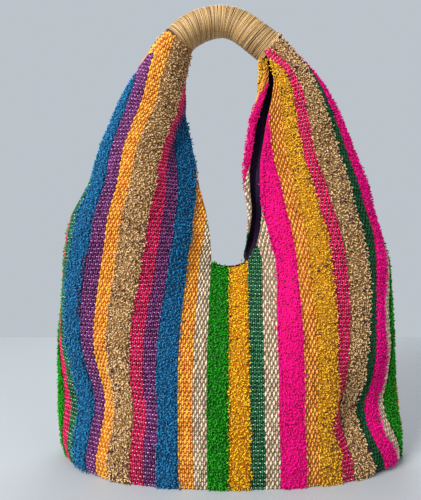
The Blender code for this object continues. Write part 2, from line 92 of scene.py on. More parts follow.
# Cross sections of one half of the bag, from the base to the handle, in mm and degrees. A
# section runs from the side seam to the middle line, or to the neckline and a bit further.
#   level          height of its middle
#   centre, half   its middle in X, and half its width
#   tilt, twist    how far it is turned up at its outer end, and about the arm's length
#   depth          how far the cloth bulges to the front, and to the back
#   edge_depth     the same at its inner end
#   sweep          how far round its oval it runs: 90 for a quarter, more in a curl
#   square         2 for an oval, more for a boxier section
#   seam, edge     the s of its two ends
#   neckline       the s at which the cloth really ends, over the neckline's bottom
SECTION_COLUMNS = ("level", "centre", "half", "tilt", "depth", "edge_depth",
                   "sweep", "square", "seam", "edge", "neckline", "twist")
SECTIONS = {
    "left": (
        (0, -109, 105, 0, 94, 94, 90, 2.2, 258, 0, 24, 0),
        (30, -113, 109, 0, 95, 96, 90, 2.4, 260, 0, 24, 0),
        (70, -115.2, 111.2, 0, 94, 95, 90, 2.5, 258, 0, 24, 0),
        (120, -115.4, 111.4, 0, 90, 88, 90, 2.5, 254, 0, 24, 0),
        (170, -113.5, 110.5, 0, 86, 70, 90, 2.5, 250, 0, 24, 0),
        (210, -111.5, 109.5, 0, 82, 46, 90, 2.5, 249, 0, 24, 0),
        (257, -109.5, 109.5, 0, 78, 22, 90, 2.5, 249, 0, 24, 0),
        (288, -107.8, 107.3, 0, 75, 22, 90, 2.5, 243, 6, 31, 2),
        (320, -110.8, 96.3, 0, 72, 24, 90, 2.5, 234, 22, 39, 5),
        (360, -110.5, 76.2, 0, 66, 27, 90, 2.4, 221, 44, 53, 8),
        (400, -111.5, 62.5, 1, 58, 28, 92, 2.3, 210, 58, 58, 8),
        (430, -107, 53.5, 6, 51, 27, 98, 2.2, 203, 61, 61, 10),
        (465.7, -102.2, 41.7, 15, 42, 25, 110, 2.1, 191, 80, 80, 20),
        (507, -93.5, 29.5, 27, 31, 21, 126, 2, 168, 101, 101, 42),
        (538.8, -81.2, 22.5, 38, 23, 16, 132, 2, 154, 108, 108, 56),
        (562.6, -67.2, 16.5, 43, 16.5, 12, 135, 2, 146, 110, 110, 60),
    ),
    "right": (
        (0, 111, 115, 0, 94, 94, 90, 2.2, 264, 0, 24, 0),
        (30, 111, 115, 0, 95, 96, 90, 2.4, 267, 0, 24, 0),
        (70, 109, 113, 0, 94, 95, 90, 2.5, 269, 0, 24, 0),
        (120, 107.5, 111.5, 0, 90, 88, 90, 2.5, 261, 0, 24, 0),
        (170, 106, 109, 0, 86, 70, 90, 2.5, 254, 0, 24, 0),
        (210, 105.3, 107.3, 0, 82, 46, 90, 2.5, 249, 0, 24, 0),
        (257, 105, 105, 0, 78, 22, 90, 2.5, 247, 0, 24, 0),
        (288, 102.3, 102.3, 0, 74, 22, 90, 2.5, 246, 10, 43, 5),
        (320, 103, 92, 0, 70, 23, 90, 2.5, 245, 30, 55, 8),
        (360, 105.4, 81.6, 0, 64, 26, 90, 2.4, 239, 54, 63, 9),
        (400, 101, 67, 5, 57, 28, 92, 2.3, 232, 73, 73, 9),
        (446, 94, 55, 12, 48, 27, 100, 2.2, 222, 85, 85, 11),
        (478, 86.5, 45.5, 20, 41, 24, 114, 2.1, 216, 91, 91, 18),
        (510, 75.5, 30.5, 30, 31, 17, 136, 2, 209, 102, 102, 25),
        (535.5, 64, 21, 44, 22.5, 11, 146, 2, 200, 118, 118, 26),
        (554, 52.7, 16.5, 54, 16.5, 7, 150, 2, 193, 125, 125, 26),
    ),
}
DISH_REACH = 0.62

# Creases where the standing cloth buckles, in mm. Each is full from s_full to s_hold, and
# pushes the cloth in towards the middle of the bag (inward) and off its own face (back).
SPAN_COLUMNS = ("side", "s_start", "s_full", "s_hold", "s_end")
CREASE_COLUMNS = SPAN_COLUMNS + ("level", "half_height", "inward", "back")
CREASES = (
    ("left", 75, 180, 205, 262, 88, 48, 14, 17),
    ("right", 118, 152, 212, 262, 84, 46, 13, 17),
)

# Step folds of an arm's front panel: beyond s_ridge, towards the neckline, the cloth
# drops back, and some of it is tucked away in the step.
FOLD_COLUMNS = ("side", "s_ridge", "run", "level", "half_height", "tuck", "back")
FOLDS = (
    ("left", 110, 26, 440, 47, 24, 14),
)
FOLD_CLEARANCE = 1.3    # how much sooner the lining turns off, for each mm of its inset

# How much further than the front panel the back one reaches at an arm's neckline, in mm
# by the level. The extra cloth curls round the arm's inner side.
BACK_REACH = {
    "left": ((0, 0), (600, 0)),
    "right": ((257, 0), (288, 6), (330, 11), (360, 12), (411, 16), (478, 18), (510, 19),
              (536, 14), (554, 8)),
}
CURL_STEPS = 20
CURL_JOIN = 0.2 * MM    # no point of the section is kept this near to the curl
CURL_HEADING = math.radians(-20)
CURL_RADIUS = 4.5 * MM
CURL_CLEARANCE = 0.4    # how much sooner the back lining ends, as a share of the reach

# The cloth's lower edge lifts off the surface near the bag's corners.
LIFT_COLUMNS = SPAN_COLUMNS + ("height", "reach")
BASE_LIFTS = (
    ("left", 140, 195, 225, 260, 4, 40),
    ("right", 150, 185, 215, 260, 5, 40),
)


# Where the stripes wander off their places on the base, in mm: at s and a level, how far
# outwards from the middle line, and how wide and tall the place is.
DRIFTS = {
    "left": (
        (205, 230, 17, 37, 75), (208, 98, 13, 28, 28), (97, 450, 13, 14, 50),
        (90, 370, 4, 18, 30), (97, 80, -5, 25, 25), (160, 0, 8, 80, 35),
    ),
    "right": (
        (60, 245, 5, 25, 35), (103, 440, 5, 14, 60), (138, 380, -5, 16, 60),
        (140, 520, -9, 30, 55), (180, 488, -8, 22, 28), (205, 460, -14, 25, 35),
        (200, 0, 9, 75, 32), (125, 68, -8, 14, 18), (155, 107, 10, 26, 22),
        (163, 235, 7, 24, 50), (190, 305, 9, 20, 35), (208, 45, -9, 27, 26),
        (210, 103, 10, 25, 18), (222, 190, -19, 32, 48), (234, 95, -5, 14, 60),
    ),
}


def rows_of(side, columns, rows):
    """One side's rows of a table, as dictionaries."""
    return [dict(zip(columns, row)) for row in rows if row[0] == side]


def smooth_step(value):
    """0 below 0, 1 above 1, and a soft rise between."""
    value = np.clip(value, 0.0, 1.0)
    return value * value * (3.0 - 2.0 * value)


def plateau(s, row):
    """A soft rise from a row's s_start to s_full, level to s_hold, and a fall to s_end."""
    start, full, hold, end = (row["s_" + name] for name in ("start", "full", "hold", "end"))
    s = s / MM
    return smooth_step((s - start) / (full - start)) * smooth_step((end - s) / (end - hold))


def bell(level, row):
    """1 at a row's level, fading above and below by its half height."""
    height = (level - row["level"] * MM) / (row["half_height"] * MM)
    return math.exp(-height * height)


def cubic(u, reach, a, go_a, b, go_b):
    """A curve from a, heading along go_a, to b, heading along go_b, at the share u."""
    return ((1 + 2 * u) * (1 - u) ** 2 * a + u * (1 - u) ** 2 * reach * go_a
            + u * u * (3 - 2 * u) * b + u * u * (u - 1) * reach * go_b)


def smooth_curve(xs, ys, x):
    """A cubic through the points that never overshoots them."""
    steps = np.diff(xs)
    slopes = np.diff(ys) / steps
    tangents = np.zeros(len(xs))
    tangents[0] = slopes[0]
    tangents[-1] = slopes[-1]
    for k in range(1, len(xs) - 1):
        if slopes[k - 1] * slopes[k] > 0:
            w_a = 2 * steps[k] + steps[k - 1]
            w_b = steps[k] + 2 * steps[k - 1]
            tangents[k] = (w_a + w_b) / (w_a / slopes[k - 1] + w_b / slopes[k])
    x = np.clip(x, xs[0], xs[-1])
    k = np.clip(np.searchsorted(xs, x) - 1, 0, len(xs) - 2)
    u = (x - xs[k]) / steps[k]
    return cubic(u, steps[k], ys[k], tangents[k], ys[k + 1], tangents[k + 1])


def rows_between(at, known, rows):
    """The rows of an array, known at some places, read at others."""
    return np.column_stack([np.interp(at, known, column) for column in rows.T])


def length_so_far(steps):
    """How far along a line each of its points lies, from its steps."""
    return np.concatenate(([0.0], np.cumsum(steps)))


def curled(curve, length, start, curl):
    """A section's curve cut at a start, and then curling on round the inner side."""
    kept = length < start - CURL_JOIN
    curve = np.vstack((curve[kept], rows_between([start], length, curve)))
    heading = math.atan2(*(curve[-1] - curve[-2])[::-1])
    heading -= 2 * math.pi if heading > 0 else 0.0
    share = (np.arange(CURL_STEPS) + 0.5) / CURL_STEPS
    turned = heading + min(CURL_HEADING - heading, curl / CURL_RADIUS) * smooth_step(share)
    step = curl / CURL_STEPS
    moves = np.column_stack((np.cos(turned), np.sin(turned)))
    curve = np.vstack((curve, curve[-1] + step * np.cumsum(moves, axis=0)))
    return curve, np.append(length[kept], start + step * np.arange(CURL_STEPS + 1))


def half_stripes(name):
    """Stripes of one half from the middle outwards: first and last s, weave, yarn."""
    rows = STRIPES[STRIPES_LEFT_OF_MIDDLE:]
    if name == "left":
        rows = STRIPES[:STRIPES_LEFT_OF_MIDDLE][::-1]
    stripes = []
    start = 0.0
    for yarn, width in rows:
        weave = "pile" if yarn in PILE_YARNS else "flat"
        stripes.append((start, start + width * MM, weave, yarn))
        start += width * MM
    return stripes


class Half:
    """One half of the bag: its sections, and the cloth's place on them."""

    def __init__(self, name):
        self.name = name
        self.sign = -1.0 if name == "left" else 1.0
        self.table = np.array(SECTIONS[name], float)
        self.levels = self.table[:, 0] * MM
        self.top = self.levels[-1]
        self.creases = rows_of(name, CREASE_COLUMNS, CREASES)
        self.folds = rows_of(name, FOLD_COLUMNS, FOLDS)
        self.lifts = rows_of(name, LIFT_COLUMNS, BASE_LIFTS)
        self.stripes = half_stripes(name)

    def value(self, column, level):
        """A column of the section table at any level, in metres, radians or as it is."""
        scale = {"tilt": DEGREES, "twist": DEGREES, "sweep": DEGREES, "square": 1.0}
        values = self.table[:, SECTION_COLUMNS.index(column)] * scale.get(column, MM)
        return float(smooth_curve(self.levels, values, level))

    def values(self, level, *columns):
        """Several columns at once."""
        return [self.value(column, level) for column in columns]

    def neckline(self, level, face):
        """The s at which the front (face 1) or back (-1) panel ends on a level."""
        levels, reach = zip(*BACK_REACH[self.name])
        extra = float(np.interp(level / MM, levels, reach)) * MM if face < 0 else 0.0
        return max(self.value("neckline", level), self.value("edge", level)) - extra

    def profile(self, level, inset):
        """The section's curve from the seam inwards, as outward and forward distances."""
        half, depth, edge_depth, sweep, square = self.values(
            level, "half", "depth", "edge_depth", "sweep", "square")
        angle = np.linspace(0.0, sweep, PROFILE_STEPS)
        cosine = np.sign(np.cos(angle)) * np.abs(np.cos(angle)) ** (2.0 / square)
        share = (cosine - cosine[-1]) / (1.0 - cosine[-1])
        outward = (half - inset / 2) * (2.0 * share - 1.0)
        forward = (depth - inset) * np.abs(np.sin(angle)) ** (2.0 / square)
        dish = np.cos(np.pi / 2 * np.minimum(share / DISH_REACH, 1.0)) ** 2
        forward = forward - (forward[-1] - (edge_depth - inset)) * dish
        return np.column_stack((outward, forward))

    def folded(self, column, s, level, face, inset):
        """How far the folds take the cloth back, or tuck it away between the seam and s.
        The lining turns off sooner, so it stays clear of the step."""
        amount = 0.0
        for fold in self.folds if face > 0 else ():
            ridge = fold["s_ridge"] * MM + FOLD_CLEARANCE * inset
            step = smooth_step((ridge - s) / (fold["run"] * MM))
            amount = amount + bell(level, fold) * step * fold[column] * MM
        return amount

    def place(self, s, level, face, inset=0.0):
        """Points of the front (face 1) or back (-1) panel on one level, at distances s
        from the middle line, moved by an inset inside the section."""
        seam, edge, twist, tilt, centre = self.values(
            level, "seam", "edge", "twist", "tilt", "centre")
        curve = self.profile(level, inset)
        length = length_so_far(np.hypot(*np.diff(curve, axis=0).T))
        stretch = length[-1] / (seam - edge - self.folded("tuck", edge, level, face, inset))
        run = (seam - s - self.folded("tuck", s, level, face, inset)) * stretch
        run = np.clip(run, 0.0, length[-1])
        curl_start = self.neckline(level, 1)
        curl = curl_start - self.neckline(level, face)
        if curl > 0:
            start = (seam - curl_start) * stretch
            curve, length = curled(curve, length, start, curl)
            run = np.where(s < curl_start, start + curl_start - s, run)
        outward, forward = rows_between(run, length, curve).T
        in_strip = seam - s < SEAM_STRIP * 1.01
        outward = np.where(in_strip, curve[0, 0], outward)
        forward = np.maximum(np.where(in_strip, seam - s, forward), SEAM_HALF_GAP)
        forward = forward - self.folded("back", s, level, face, inset)
        across = self.sign * outward
        back = -face * forward
        turned = across * math.cos(twist) - back * math.sin(twist)
        y = across * math.sin(twist) + back * math.cos(twist)
        x = centre - self.sign * inset / 2 + turned * math.cos(tilt)
        z = level + self.sign * turned * math.sin(tilt)
        for crease in self.creases:
            strength = (bell(level, crease) * smooth_step((seam - s) / CREASE_SEAM_FADE)
                        * plateau(s, crease))
            x = x - self.sign * strength * crease["inward"] * MM
            y = y + face * strength * crease["back"] * MM
        for lift in self.lifts:
            fade = max(0.0, 1.0 - level / (lift["reach"] * MM))
            z = z + plateau(s, lift) * lift["height"] * MM * fade
        dip = np.maximum(0.0, 1.0 - (s / NECK_HALF_WIDTH) ** 2)
        z = z - NECK_DIP * dip * smooth_step((level - NECK_LEVEL) / NECK_DIP_REACH + 1.0)
        return np.column_stack((x, y, z))

    def drift(self, s, level):
        """How far outwards the stripes wander at s and a level."""
        total = 0.0
        for at_s, at_level, amount, wide, tall in DRIFTS[self.name]:
            far = ((s / MM - at_s) / wide) ** 2 + ((level / MM - at_level) / tall) ** 2
            total = total + amount * MM * np.exp(-far)
        return total


HALVES = {name: Half(name) for name in SECTIONS}


def unit(vectors):
    """The vectors, each made one long."""
    return vectors / np.maximum(np.linalg.norm(vectors, axis=-1, keepdims=True), 1e-12)


CLOTH_ROWS = 290
CLOTH_COLUMNS = 269
CLOTH_REACH = 268 * MM
EDGE_MARGIN = 1.5 * MM    # beyond which directions are read from further in


class Cloth:
    """One half of a panel, read at any s and level: places, and directions there."""

    def __init__(self, half, face):
        self.half = half
        self.face = face
        self.levels = np.linspace(0.0, half.top, CLOTH_ROWS)
        self.steps = np.linspace(0.0, CLOTH_REACH, CLOTH_COLUMNS)
        grid = np.array([half.place(self.steps, level, face) for level in self.levels])
        self.seam = np.array([half.value("seam", level) for level in self.levels])
        neck = np.array([half.neckline(level, face) for level in self.levels])
        self.neck = np.where(self.levels > NECK_LEVEL, neck, 0.0)
        up, across = np.gradient(grid, axis=(0, 1))
        outward = np.cross(across, up) * half.sign * face
        self.layers = [grid, unit(across), unit(up), unit(outward)]

    def read(self, layer, s, level):
        """A layer of the grid between its points."""
        row = np.clip(level / self.levels[-1], 0.0, 1.0) * (CLOTH_ROWS - 1)
        column = np.clip(s / self.steps[-1], 0.0, 1.0) * (CLOTH_COLUMNS - 1)
        i = np.minimum(row.astype(int), CLOTH_ROWS - 2)
        j = np.minimum(column.astype(int), CLOTH_COLUMNS - 2)
        a = (row - i)[..., None]
        b = (column - j)[..., None]
        grid = self.layers[layer]
        return ((grid[i, j] * (1 - b) + grid[i, j + 1] * b) * (1 - a)
                + (grid[i + 1, j] * (1 - b) + grid[i + 1, j + 1] * b) * a)

    def limits(self, level):
        """The s of the neckline and of the seam."""
        return [np.interp(level, self.levels, edge) for edge in (self.neck, self.seam)]

    def frame(self, s, level):
        """Place, and the directions across the stripes, up the cloth and outwards."""
        low, high = self.limits(level)
        s = np.clip(s, low, high)
        inner = np.clip(s, np.where(low > 0, low + EDGE_MARGIN, 0.0), high - EDGE_MARGIN)
        directions = [unit(self.read(layer, inner, level)) for layer in (1, 2, 3)]
        return self.read(0, s, level), *directions


LEAST_HEIGHT = 0.2 * MM    # of any strand over the floor
MAP_WOBBLE = (0.35, 0.01)  # of a point on its yarn's strip of the map, across and up it


def fill(rows, name, values, kind=np.int32):
    """Set one value of every row of a mesh's data."""
    rows.foreach_set(name, values.astype(kind).ravel())


def set_shades(mesh, shades):
    """The shade of every point, part random tone and part painted shade and highlight, which
    the yarns' and the raffia's materials read.
    """
    fill(mesh.attributes.new("shade", "FLOAT", "POINT").data, "value", shades, np.float32)


def with_settings(thing, **settings):
    """The thing, with some of its settings made."""
    for name, value in settings.items():
        setattr(thing, name, value)
    return thing


def sheet_mesh(name, points, faces, materials):
    """A smooth mesh of a few large faces."""
    mesh = bpy.data.meshes.new(name)
    mesh.from_pydata(points, [], faces)
    mesh.shade_smooth()
    for material in materials:
        mesh.materials.append(material)
    return mesh


def add_object(name, data):
    """An object of the scene."""
    obj = bpy.data.objects.new(name, data)
    bpy.context.scene.collection.objects.link(obj)
    return obj


def add_piece(name, data):
    """A piece of the bag, riding on its one body."""
    piece = add_object(name, data)
    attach(piece, "root")
    return piece


class Batch:
    """Points and faces gathered for one piece."""

    def __init__(self):
        self.points, self.faces, self.sizes, self.slots, self.shades = [], [], [], [], []
        self.count = 0

    def add(self, points, faces, slot, shade):
        """Copies of one small form. points: n copies x k places; faces: corners in one
        copy; slot: one per copy; shade: n x k."""
        n, k = points.shape[:2]
        base = self.count + np.arange(n)[:, None, None] * k
        for size in sorted({len(face) for face in faces}):
            block = np.array([face for face in faces if len(face) == size])
            self.faces.append((base + block[None]).reshape(-1))
            self.sizes.append(np.full(n * len(block), size))
            self.slots.append(np.repeat(slot, len(block)))
        self.points.append(points.reshape(-1, 3))
        self.shades.append(np.broadcast_to(shade, (n, k)).reshape(-1))
        self.count += n * k

    def piece(self, name, materials, material_slot):
        """The gathered piece, with a shade on every point and a map by yarn and shade."""
        points = np.concatenate(self.points)
        points[:, 2] = np.maximum(points[:, 2], LEAST_HEIGHT)
        corners = np.concatenate(self.faces)
        sizes = np.concatenate(self.sizes)
        slots = np.concatenate(self.slots)
        shades = np.clip(np.concatenate(self.shades), 0.0, 1.0)
        mesh = bpy.data.meshes.new(name)
        mesh.vertices.add(len(points))
        fill(mesh.vertices, "co", points, np.float32)
        mesh.loops.add(len(corners))
        fill(mesh.loops, "vertex_index", corners)
        mesh.polygons.add(len(sizes))
        fill(mesh.polygons, "loop_start", np.cumsum(sizes) - sizes)
        fill(mesh.polygons, "material_index", slots)
        mesh.update(calc_edges=True)
        mesh.shade_smooth()
        set_shades(mesh, shades)
        wobble = [RANDOM.uniform(-most, most, len(points))[corners] for most in MAP_WOBBLE]
        across = (np.repeat(slots, sizes) + 0.5 + wobble[0]) / len(materials)
        up = 0.02 + 0.96 * shades[corners] + wobble[1]
        layer = mesh.uv_layers.new(name="OFBake")
        fill(layer.uv, "vector", np.column_stack((across, up)), np.float32)
        for material in materials:
            mesh.materials.append(material)
        return add_piece(name, mesh)


def colour(levels):
    """A colour from its three levels of 0 to 255, as a shader takes it."""
    share = np.array(levels) / 255
    return (*(float(x) for x in ((share + 0.055) / 1.055) ** 2.4), 1.0)


class Look:
    """A Principled material, and the nodes that are added to it."""

    def __init__(self, name, inputs):
        self.material = bpy.data.materials.new(name)
        self.material.use_nodes = True
        self.tree = self.material.node_tree
        self.shader = self.tree.nodes["Principled BSDF"]
        self.plug(self.shader, inputs)
        self.place = self.node("TexCoord", "Object", {})

    def plug(self, node, inputs):
        """Set a node's sockets, or link them where the value is another node's output."""
        for label, value in inputs.items():
            if isinstance(value, bpy.types.NodeSocket):
                self.tree.links.new(value, node.inputs[label])
            else:
                node.inputs[label].default_value = value

    def node(self, kind, output, inputs, **settings):
        """An output of a new node."""
        node = with_settings(self.tree.nodes.new("ShaderNode" + kind), **settings)
        self.plug(node, inputs)
        return node.outputs[output]

    def noise(self, scale, **inputs):
        """Noise over the object."""
        return self.node("TexNoise", "Fac", {"Scale": scale, **inputs})

    def shade(self, noise, low, high, spread):
        """The mesh's shade, moved up or down by as much as the spread by a noise."""
        shade = self.node("Attribute", "Fac", {}, attribute_name="shade")
        uneven = self.node("MapRange", "Result", {
            "Value": noise, "From Min": low, "From Max": high,
            "To Min": -spread, "To Max": spread})
        return self.node("Math", "Value", {0: shade, 1: uneven},
                         operation="ADD", use_clamp=True)

    def colours(self, share, dark, bright):
        """A base colour between two, by a share."""
        mixed = self.node("Mix", "Result", {"Factor": share, "A": dark, "B": bright},
                          data_type="RGBA")
        self.plug(self.shader, {"Base Color": mixed})

    def bumps(self, height, strength, distance):
        """Fine relief, by a height."""
        normal = self.node("Bump", "Normal", {
            "Height": height, "Strength": strength, "Distance": distance})
        self.plug(self.shader, {"Normal": normal})


def yarn_material(name, dark, bright):
    """Spun yarn, dark in its shadows and bright on its crowns, a little uneven in dye."""
    look = Look(name, {"Roughness": 0.85, "Specular IOR Level": 0.12, "Sheen Weight": 0.02})
    fine = look.noise(900.0, Vector=look.place, Roughness=0.6)
    dye = look.noise(45.0, Vector=look.place)
    uneven = look.node("Math", "Value", {0: dye, 1: 0.2, 2: fine}, operation="MULTIPLY_ADD")
    look.colours(look.shade(uneven, 0.3, 0.9, 0.3), colour(dark), colour(bright))
    look.bumps(fine, 0.5, 0.4 * MM)
    return look.material


def lining_material():
    """Plain dark cotton."""
    look = Look("lining_cotton", {
        "Roughness": 0.8, "Specular IOR Level": 0.2, "Sheen Weight": 0.05})
    weave = look.noise(1400.0, Vector=look.place)
    soft = look.noise(28.0, Vector=look.place, Detail=3.0)
    look.colours(soft, colour((28, 16, 38)), colour((74, 44, 84)))
    look.bumps(weave, 0.25, 0.2 * MM)
    return look.material


def raffia_material():
    """Dried palm strips, with painted shade between the turns and a painted highlight on
    their crowns.
    """
    look = Look("raffia", {"Roughness": 0.5, "Sheen Weight": 0.05})
    noise = look.noise(700.0, Vector=look.place, Detail=3.0)
    shade = look.shade(noise, 0.0, 1.0, 0.25)
    look.colours(shade, colour((65, 36, 12)), colour((222, 180, 116)))
    look.bumps(noise, 0.4, 0.3 * MM)
    return look.material


def plain_material(name, roughness, scale, dark, bright):
    """A plain material whose colour varies a little."""
    look = Look(name, {"Roughness": roughness})
    look.colours(look.noise(scale), dark, bright)
    return look.material


# Yarns: the colour in the shadows between the strands, and on their crowns.
YARNS = {
    "green": ((0, 60, 0), (40, 175, 25)),
    "crimson": ((100, 0, 30), (225, 35, 95)),
    "dark_green": ((0, 25, 12), (45, 115, 70)),
    # The same dark green yarn, darker on its crowns: painted shade for its stripe near the
    # right seam, which faces away from the light.
    "dark_green_painted_shade": ((0, 25, 12), (25, 85, 52)),
    "blue": ((0, 45, 78), (45, 138, 188)),
    "purple": ((35, 0, 35), (130, 60, 120)),
    "orange": ((145, 55, 0), (255, 185, 65)),
    "tan": ((100, 65, 25), (250, 210, 155)),
    "natural": ((98, 74, 54), (232, 212, 181)),
    "gold": ((150, 74, 0), (255, 215, 35)),
    "pink": ((180, 0, 75), (255, 0, 160)),
    "light_orange": ((120, 50, 0), (250, 175, 75)),
    "mustard": ((142, 86, 5), (255, 200, 55)),
    "fleck": ((10, 5, 20), (70, 40, 80)),
    "cross": ((130, 100, 90), (255, 245, 230)),
    "pale": ((190, 120, 40), (255, 225, 150)),
    "rose": ((160, 40, 70), (255, 215, 215)),
    "lilac": ((110, 60, 100), (245, 195, 235)),
    "mint": ((60, 100, 75), (215, 245, 220)),
}
YARN_NAMES = list(YARNS)
# The share of a pile's strands that are dark, and the cross yarn of each flat stripe.
FLECKED = {"tan": 0.08, "mustard": 0.06, "gold": 0.015, "pink": 0.02}
# The stripe near the right seam, in painted shade, gets dimmer dots of the dark green yarn.
DOTS = {"natural": "natural", "crimson": "rose", "purple": "lilac", "dark_green": "mint",
        "dark_green_painted_shade": "dark_green", "orange": "pale", "light_orange": "light_orange"}


def backing_columns(half):
    """The s of every mesh column of the backing on the base, from the middle outwards."""
    columns = [0.0]
    for start, end, _, _ in half.stripes:
        outermost = end > half.value("seam", 0.0) - RIDGE_SLOPE
        if outermost:
            end -= SEAM_STRIP
        count = max(2, math.ceil((end - start) / COLUMN_STEP))
        columns += list(start + (end - start) * np.arange(1, count + 1) / count)
        if outermost:
            columns.append(end + SEAM_STRIP)
    return np.array(columns)


def first_in_arm(columns):
    """The first mesh column that goes on beside the neckline."""
    return int(np.argmax(columns > NECK_HALF_WIDTH * 0.999))


def columns_on_level(half, columns, level, edge):
    """Where the mesh columns lie on a level: on their stripes, except that the ones that
    have run into the neckline or the seam stay side by side along it."""
    seam = half.value("seam", level)
    order = np.arange(len(columns))
    s = np.minimum(columns + half.drift(columns, level),
                   seam - SEAM_STRIP - SQUEEZED_STEP * (order[-2] - order))
    if level > NECK_LEVEL:
        s = np.maximum(s, edge + SQUEEZED_STEP * (order - first_in_arm(columns)))
    s[-1] = seam
    return s


def yarn_at(half, s):
    """The number of the yarn at a distance s from the middle line."""
    for _, end, _, yarn in half.stripes:
        if s <= end:
            break
    return YARN_NAMES.index(yarn)


def backing_height(half, s, level, face):
    """Thickness of the cloth under its yarns and pile."""
    height = FLAT_BACKING
    at = s - half.drift(s, level)
    for start, end, weave, _ in half.stripes:
        if start <= at <= end and weave == "pile":
            rise = min(at - start, end - at, RIDGE_SLOPE) / RIDGE_SLOPE
            height = FLAT_BACKING + (PILE_BACKING - FLAT_BACKING) * rise
    edge = half.value("seam", level) - s
    if level > NECK_LEVEL - HEM_WIDTH:
        edge = min(edge, s - half.neckline(level + HEM_RISE, face))
    return min(height, HEM_BACKING + max(0.0, edge - HEM_WIDTH))


def sheet_grid(face, place, foot=0.0, drop=0.0):
    """A grid over one panel, or over its lining, which ends a drop inside the neckline:
    its points, its quads, and the half, s and level of each point."""
    points, quads, notes, shared = [], [], [], {}
    for half in HALVES.values():
        columns = backing_columns(half)
        neck = NECK_LEVEL - drop
        body = np.linspace(foot, neck, round((neck - foot) / ROW_STEP) + 1)
        arm = np.linspace(neck, half.top, round((half.top - neck) / ROW_STEP) + 1)[1:]
        below = {}
        for index, level in enumerate((*body, *arm)):
            edge = half.neckline(level, 1 if drop else face)
            if drop:
                edge += drop + CURL_CLEARANCE * (edge - half.neckline(level, face))
            s = columns_on_level(half, columns, level, edge)
            row = place(half, s, level)
            numbers = {}
            for k in range(0 if index < len(body) else first_in_arm(columns), len(s)):
                if k == 0 and index in shared:
                    numbers[k] = shared[index]
                    continue
                numbers[k] = len(points)
                points.append(tuple(row[k]))
                notes.append((half, s[k], level))
            if 0 in numbers:
                shared.setdefault(index, numbers[0])
            for k in numbers:
                if k in below and k + 1 in numbers:
                    quad = (below[k], below[k + 1], numbers[k + 1], numbers[k])
                    quads.append(quad if half.sign * face > 0 else quad[::-1])
            below = numbers
    return points, quads, notes


def make_backing(name, face, yarns, lining):
    """The cloth itself, with the colour of its stripes in shadow under the yarns."""
    points, quads, notes = sheet_grid(
        face, lambda half, s, level: half.place(s, level, face))
    mesh = sheet_mesh(name, points, quads, yarns + [lining] * len(yarns))
    set_shades(mesh, RANDOM.uniform(0.0, 0.1, len(points)))
    for polygon, quad in zip(mesh.polygons, quads):
        half, _, level = max((notes[k] for k in quad), key=lambda note: note[1])
        middle = np.mean([notes[k][1] for k in quad])
        polygon.material_index = yarn_at(half, middle - half.drift(middle, level))
    sheet = add_piece(name, mesh)
    group = sheet.vertex_groups.new(name="thickness")
    for number, (half, s, level) in enumerate(notes):
        group.add([number], backing_height(half, s, level, face) / PILE_BACKING, "REPLACE")
    with_settings(sheet.modifiers.new("thickness", "SOLIDIFY"),
                  thickness=PILE_BACKING, offset=1.0, use_even_offset=False,
                  vertex_group=group.name, material_offset=len(yarns))
    return sheet


# The weave: a column of coloured floats every 2.35 mm and a row every 4.8 mm, with the
# cross yarn's dots between them. For both: half the length, the height and how much it
# varies, in mm, the stations along it, and the range of its shade.
YARN_PITCH = 2.35 * MM
ROW_PITCH = 4.8 * MM
FLOATS = (3.7, 4.2, 0.25, 5, (0.27, 0.77))
CROSS_DOTS = (0.7, 3.7, 0.3, 3, (0.0, 0.9))
FLOAT_HALF_WIDTH = 0.55       # as a share of the pitch
DOT_HALF_WIDTH = 0.95 * MM
BUMP_FOOT = 1.8 * MM
BUMP_ACROSS = np.array((-1.0, -0.5, 0.5, 1.0))
BUMP_ROUND = np.array((0.0, 0.9, 0.9, 0.0))
FLOAT_SLANT = (0.06, 0.05)    # on average, and how much it varies
WEAVE_WANDER = (0.12 * MM, 0.25 * MM)
LAPPED_CLOTH = 6.5 * MM       # of each arm's top, under the handle's turns, left bare


def add_bumps(batch, cloth, s, level, reach_s, reach_level, high, stations, yarn, shade):
    """Short stretches of yarn that rise out of the weave: arched half rounds with their
    longer reach along the yarn. The ones along the stripe slant."""
    along = np.linspace(-1.0, 1.0, stations)
    arch = np.sqrt(np.maximum(0.0, 1.0 - (0.96 * along) ** 2))
    u, v = np.meshgrid(along, BUMP_ACROSS, indexing="ij")
    narrow = (0.35 + 0.65 * arch)[:, None] * v
    rise = (arch[:, None] * (0.15 + 0.85 * BUMP_ROUND[None])).ravel()
    painted_highlight = ((1 - np.abs(along) ** 1.5)[:, None] * (0.2 + 0.8 * BUMP_ROUND[None])).ravel()
    lengthwise = reach_level > reach_s
    ds = (narrow if lengthwise else u).ravel() * reach_s
    dl = (u if lengthwise else narrow).ravel() * reach_level
    if lengthwise:
        ds = ds + dl * cloth.half.sign * RANDOM.normal(*FLOAT_SLANT, len(s))[:, None]
    height = BUMP_FOOT + (high[:, None] - BUMP_FOOT) * rise
    place, _, _, outward = cloth.frame(s[:, None] + ds, level[:, None] + dl)
    n = len(BUMP_ACROSS)
    faces = [(i * n + j, i * n + j + 1, (i + 1) * n + j + 1, (i + 1) * n + j)
             for i in range(stations - 1) for j in range(n - 1)]
    if (cloth.half.sign * cloth.face > 0) != lengthwise:
        faces = [face[::-1] for face in faces]
    # The shade is painted: a painted highlight on each bump's crown, and painted shade at its
    # ends and sides.
    batch.add(place + outward * height[..., None], faces, yarn,
              shade[:, None] + 0.95 * painted_highlight - 0.6)


